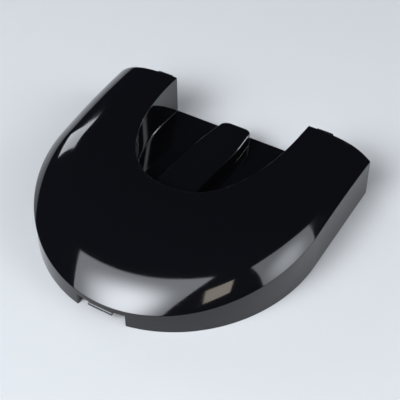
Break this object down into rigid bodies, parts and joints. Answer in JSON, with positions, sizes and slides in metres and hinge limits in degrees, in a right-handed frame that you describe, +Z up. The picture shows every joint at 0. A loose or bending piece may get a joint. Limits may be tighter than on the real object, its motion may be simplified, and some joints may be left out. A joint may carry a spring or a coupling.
{
  "type": "vacuum dust bin lid",
  "caption": "Glossy black moulded lid for a vacuum dust bin: crowned D-shaped shell with a deep U recess between its arms, a raised tongue on the deck and a front catch.",
  "frame": {"origin": "on the plane of the rim, under the middle of the lid's bounding box", "axes": "+Z up, -Y to the catch at the nose, +Y to the arms and their locating tabs, +X across the lid"},
  "size_m": [0.1826, 0.171, 0.041],
  "materials": {
    "gloss_black_abs": "high gloss, as moulded"
  },
  "bodies": {
    "root": {"lid_moulding": "gloss_black_abs"}
  },
  "joints": []
}
